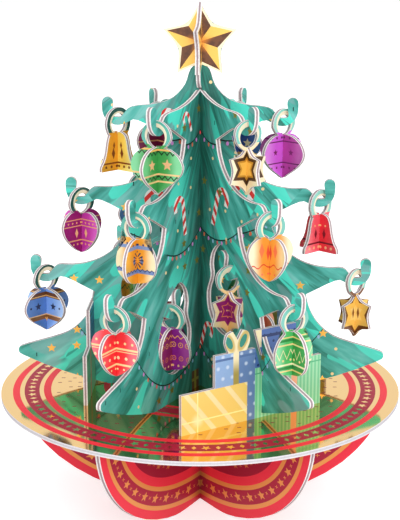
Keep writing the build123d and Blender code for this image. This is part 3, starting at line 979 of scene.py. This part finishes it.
# Gives each face its material, and the print's and the edge's own maps. Each sheet plane of the
# piece has a point of its middle, its direction, and the values that its print reads. It ends as
# far behind that point as reachBack says
def faceLayers(piece, planes, foot, thickness, reachBack=0.03):
    mesh = piece.data
    names = ("face", "wing", "across")
    for name in names:
        mesh.uv_layers.new(name=name)
    faceMap, wingMap, acrossMap = (mesh.uv_layers[name] for name in names)
    for polygon in mesh.polygons:
        best = None
        for base, direction, values in planes:
            normal = Vector((-direction.y, direction.x, 0))
            place = polygon.center - base
            cost = abs(place.dot(normal))
            if isPrinted(polygon, normal):
                cost = abs(cost - thickness / 2) - 0.0006
            if place.dot(direction) < -reachBack:
                cost += 1.0
            if best is None or cost < best[0]:
                best = (cost, base, direction, values, normal)
        base, direction, values, normal = best[1:]
        polygon.material_index = 0 if isPrinted(polygon, normal) else 1
        for loop in polygon.loop_indices:
            point = mesh.vertices[mesh.loops[loop].vertex_index].co
            local = point - base
            faceMap.data[loop].uv = (local.dot(direction), point.z - foot)
            wingMap.data[loop].uv = values[:2]
            acrossMap.data[loop].uv = (local.dot(normal) / thickness * 2, values[2])


# Corners between straight cuts that are rounded: their edges' lengths, the degrees between the cuts,
# and how much of the neighbouring edges the rounding takes
corners = {"lengths": (0.001, 0.0034), "turns": (8, 72), "percent": 32}


def roundOutline(piece):
    mesh = piece.data
    sides = {}
    for polygon in mesh.polygons:
        for key in polygon.edge_keys:
            sides.setdefault(key, []).append(polygon.normal.copy())
    activate(piece)
    setMode("EDIT")
    bpy.ops.mesh.select_mode(type="EDGE")
    bpy.ops.mesh.select_all(action="DESELECT")
    setMode("OBJECT")
    shortest, longest = corners["lengths"]
    least, most = corners["turns"]
    found = False
    for edge in mesh.edges:
        pair = sides.get(edge.key, [])
        start, stop = (mesh.vertices[vertex].co for vertex in edge.vertices)
        across = stop - start
        fits = abs(across.z) <= 0.00001 and shortest < across.length < longest
        if len(pair) == 2 and fits and least < math.degrees(pair[0].angle(pair[1], 0)) < most:
            edge.select = True
            found = True
    if found:
        setMode("EDIT")
        bpy.ops.mesh.bevel(offset_type="PERCENT", offset_pct=corners["percent"], segments=2, affect="EDGES")
        setMode("OBJECT")


# A welded copy of the meshes of one or more cards, which the print is laid on
def copyCards(nodes, name, fit=None):
    activate(*[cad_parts[node] for node in nodes])
    bpy.ops.object.duplicate()
    copies = list(bpy.context.selected_objects)
    for piece in copies:
        for key in list(piece.keys()):
            del piece[key]
        piece.parent = None
        piece.matrix_world = Matrix.Identity(4)
    for piece in copies:
        activate(piece)
        setMode("EDIT")
        bpy.ops.mesh.select_all(action="SELECT")
        bpy.ops.mesh.remove_doubles(threshold=0.000002)
        bpy.ops.mesh.dissolve_limited(angle_limit=math.radians(0.5))
        setMode("OBJECT")
        while piece.data.uv_layers:
            piece.data.uv_layers.remove(piece.data.uv_layers[0])
        if fit:
            fit(piece)
        roundOutline(piece)
    activate(*copies)
    if len(copies) > 1:
        bpy.ops.object.join()
    piece = bpy.context.object
    piece.name = name
    return piece


# Brings an ornament's plate from its card's size to the one in the photograph: the ring stays on
# its hook, and the body hangs from it
def ornamentFit(kind, middle, foot, azimuth):
    half, tall, cut = bodySizes[kind]
    top = foot + cardSizes["height"]
    ringAt = top + cardSizes["ringUp"]
    outer, inner = cardSizes["ringOuter"], cardSizes["ringInner"]

    def fit(piece):
        ringPlate = piece.name.split(".")[0].endswith("ring_plate")
        direction = out(azimuth if ringPlate else azimuth + 90)
        for vertex in piece.data.vertices:
            u = (vertex.co - middle).dot(direction)
            v = vertex.co.z - ringAt
            away = math.hypot(u, v)
            if ringPlate and away < outer + 0.0001:
                onHole = away < (inner + outer) / 2
                grow = ringPrint["inner"] / inner if onHole else ringPrint["outer"] / outer
                vertex.co += direction * u * (grow - 1)
                vertex.co.z = ringAt - cardSizes["ringSink"] + v * grow
            else:
                if abs(u) > ornamentCard:
                    vertex.co += direction * u * (half / cut - 1)
                vertex.co.z = top + cardSizes["bodyRise"] - (top - vertex.co.z) * tall / cardSizes["height"]

    return fit


# Where a gift card's outline was cut: along it (half a width for the strip at the slot), and up
giftCut = {"gold": -0.048, "blue": -0.031, "slot": 0.002, "green": 0.043, "bowFoot": 0.03, "bowTop": 0.045}


# Brings a gift card's outline from its card's size to the one in the photograph
def giftFit(middle, direction):
    slot = giftCut["slot"]

    def fit(piece):
        for vertex in piece.data.vertices:
            t = (vertex.co - middle).dot(direction)
            up = vertex.co.z - tree["discTop"]
            if t < -slot or t < slot and up < giftCut["bowTop"]:
                vertex.co.z += up * 0.1  # the left part stands taller
            if t < giftCut["gold"]:
                vertex.co += direction * (gift["goldBox"][0] - t)
            elif giftCut["blue"] < t < -slot:
                vertex.co += direction * -0.003  # and its blue box is wider
            elif abs(t) < slot and up > giftCut["bowFoot"]:
                vertex.co += direction * (gift["blueBox"][1] - t)
            elif t > giftCut["green"]:
                vertex.co += direction * (gift["greenBox"][1] - t)

    return fit


edgeMaterial = makeEdgeMaterial("cut card edge", cardEdge["liner"], cardEdge["core"])
origin = Vector((0, 0, 0))


def dressBoards():
    material = makeTreePrint()
    for index, (node, pair) in enumerate(boardWings.items()):
        piece = copyCards([node], node.replace("tree_", "printed_"))
        planes = []
        for turn, wing in enumerate(pair):
            azimuth, tone, lean = wings[wing]
            seed = index * fir["seeds"][0] + turn * fir["seeds"][1]
            planes.append((origin, out(azimuth), (seed, tone, lean)))
        faceLayers(piece, planes, tree["discTop"], 2 * tree["board"])
        finishPiece(piece, [material, edgeMaterial], [node])


def dressDisc():
    piece = copyCards(["foil_disc"], "printed_foil_disc")
    mesh = piece.data
    acrossMap = mesh.uv_layers.new(name="across")
    for polygon in mesh.polygons:
        facing = polygon.normal.z
        polygon.material_index = 0 if facing > printedFrom else 2 if facing < -printedFrom else 1
        for loop in polygon.loop_indices:
            point = mesh.vertices[mesh.loops[loop].vertex_index].co
            acrossMap.data[loop].uv = ((point.z - tree["discTop"]) / tree["discCard"] * 2 + 1, 0)
    edge = makeEdgeMaterial("cut disc edge", cardEdge["discLiner"], cardEdge["discCore"])
    underside = makePlainPrint("disc underside", disc["underside"])
    finishPiece(piece, [makeDiscPrint(), edge, underside], ["foil_disc"])


def dressStar():
    material = makeStarPrint()
    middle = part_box("star_deep_plate")[1].z - topStar["size"]
    for node, azimuth in topStar["azimuths"].items():
        piece = copyCards([node], "printed_" + node)
        faceLayers(piece, [(origin, out(azimuth), (0.0, 0.0, 0.0))], middle, topStar["card"])
        finishPiece(piece, [material, edgeMaterial], [node])


def dressGifts():
    material = makeGiftPrint()
    for wing in ("back_right", "left", "front_right"):
        azimuth = wings[wing][0]
        node = "gift_card_" + wing
        middle = out(azimuth) * gift["radius"]
        along = out(azimuth + 90)
        piece = copyCards([node], "printed_" + node, giftFit(middle, along))
        faceLayers(piece, [(middle, along, (0.0, 0.0, 0.0))], tree["discTop"], gift["card"], 1.0)
        finishPiece(piece, [material, edgeMaterial], [node])


def dressOrnament(name, look):
    kind, rest = name.split("_", 1)
    wing = rest.rsplit("_", 1)[0]
    nodes = [name + "_ring_plate", name + "_cross_plate"]
    low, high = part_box(nodes[0])
    middle = Vector(((low.x + high.x) / 2, (low.y + high.y) / 2, 0))
    azimuth = wings[wing][0] + ringTurns.get(wing, ringTurns["others"])
    piece = copyCards(nodes, "printed_" + name, ornamentFit(kind, middle, low.z, azimuth))
    planes = [(middle, out(azimuth), (0.0, 0.0, 0.0)), (middle, out(azimuth + 90), (1.0, 0.0, 0.0))]
    foot = low.z + cardSizes["height"] + cardSizes["bodyRise"] - bodySizes[kind][1]
    faceLayers(piece, planes, foot, ornamentCard)
    material = makeOrnamentPrint(name, kind, wing, look)
    finishPiece(piece, [material, edgeMaterial], nodes)


dressBoards()
print("sector boards dressed")
dressDisc()
dressStar()
print("disc and star dressed")
dressGifts()
print("gift cards dressed")
for name, look in ornamentLooks.items():
    dressOrnament(name, look)
print("ornaments dressed")

# Studio: pale floor, even light and the photograph's own camera
studio = {
    "distance": 0.73637,
    "heightOverDisc": 0.26451,
    "pitch": 14.242,
    "lens": 88.35,
    "sensor": 36,
    "clip": (0.01, 100),
    "sky": 0.9,
    "skySeen": 1.0,  # by the camera and in the foil
    "keyPower": 16.0,
    "keyAt": (0.35, -1.7, 0.9),
    "keyAim": (0, 0, 0.12),
    "keySize": 1.2,
    "floorSize": 12.0,
    "floorColour": (0.8, 0.8, 0.8, 1),
    "floorGlow": 0.6,
}


def placeCamera():
    spot = (0, -studio["distance"], tree["discTop"] + studio["heightOverDisc"])
    bpy.ops.object.camera_add(location=spot, rotation=(math.radians(90 - studio["pitch"]), 0, 0))
    camera = bpy.context.object
    camera.name = "photo_camera"
    camera.data.sensor_fit = "VERTICAL"
    camera.data.sensor_height = studio["sensor"]
    camera.data.lens = studio["lens"]
    camera.data.clip_start, camera.data.clip_end = studio["clip"]
    bpy.context.scene.camera = camera


def layFloor():
    bpy.ops.mesh.primitive_plane_add(size=studio["floorSize"], location=(0, 0, 0))
    floor = bpy.context.object
    floor.name = "studio_floor"
    m = Maker("studio floor")
    rays = m.node("ShaderNodeLightPath").outputs
    seen = m.either(rays["Is Camera Ray"], rays["Is Glossy Ray"], rays["Is Transmission Ray"])
    m.shader.inputs["Specular IOR Level"].default_value = 0.0
    m.shader.inputs["Emission Color"].default_value = (1, 1, 1, 1)
    m.feed(m.shader.inputs["Emission Strength"], m.mul(seen, studio["floorGlow"]))
    floor.data.materials.append(m.finish(studio["floorColour"], 0.9))


def makeSky():
    world = bpy.data.worlds.new("studio world")
    bpy.context.scene.world = world
    world.use_nodes = True
    nodes, links = world.node_tree.nodes, world.node_tree.links
    nodes.clear()
    rays = nodes.new("ShaderNodeLightPath").outputs
    seen = nodes.new("ShaderNodeMath")
    seen.operation = "MAXIMUM"
    links.new(rays["Is Camera Ray"], seen.inputs[0])
    links.new(rays["Is Glossy Ray"], seen.inputs[1])
    mixer = nodes.new("ShaderNodeMixShader")
    links.new(seen.outputs[0], mixer.inputs[0])
    for socket, strength in zip(mixer.inputs[1:], (studio["sky"], studio["skySeen"])):
        sky = nodes.new("ShaderNodeBackground")
        sky.inputs["Strength"].default_value = strength
        sky.inputs["Color"].default_value = (1, 1, 1, 1)
        links.new(sky.outputs[0], socket)
    links.new(mixer.outputs[0], nodes.new("ShaderNodeOutputWorld").inputs[0])


def hangKeyLight():
    bpy.ops.object.light_add(type="AREA", location=studio["keyAt"])
    lamp = bpy.context.object
    lamp.name = "key_light"
    lamp.data.energy = studio["keyPower"]
    lamp.data.size = studio["keySize"]
    lamp.rotation_euler = (Vector(studio["keyAim"]) - lamp.location).to_track_quat("-Z", "Y").to_euler()


placeCamera()
layFloor()
makeSky()
hangKeyLight()
bpy.context.scene.view_settings.view_transform = "Standard"
print("studio set")
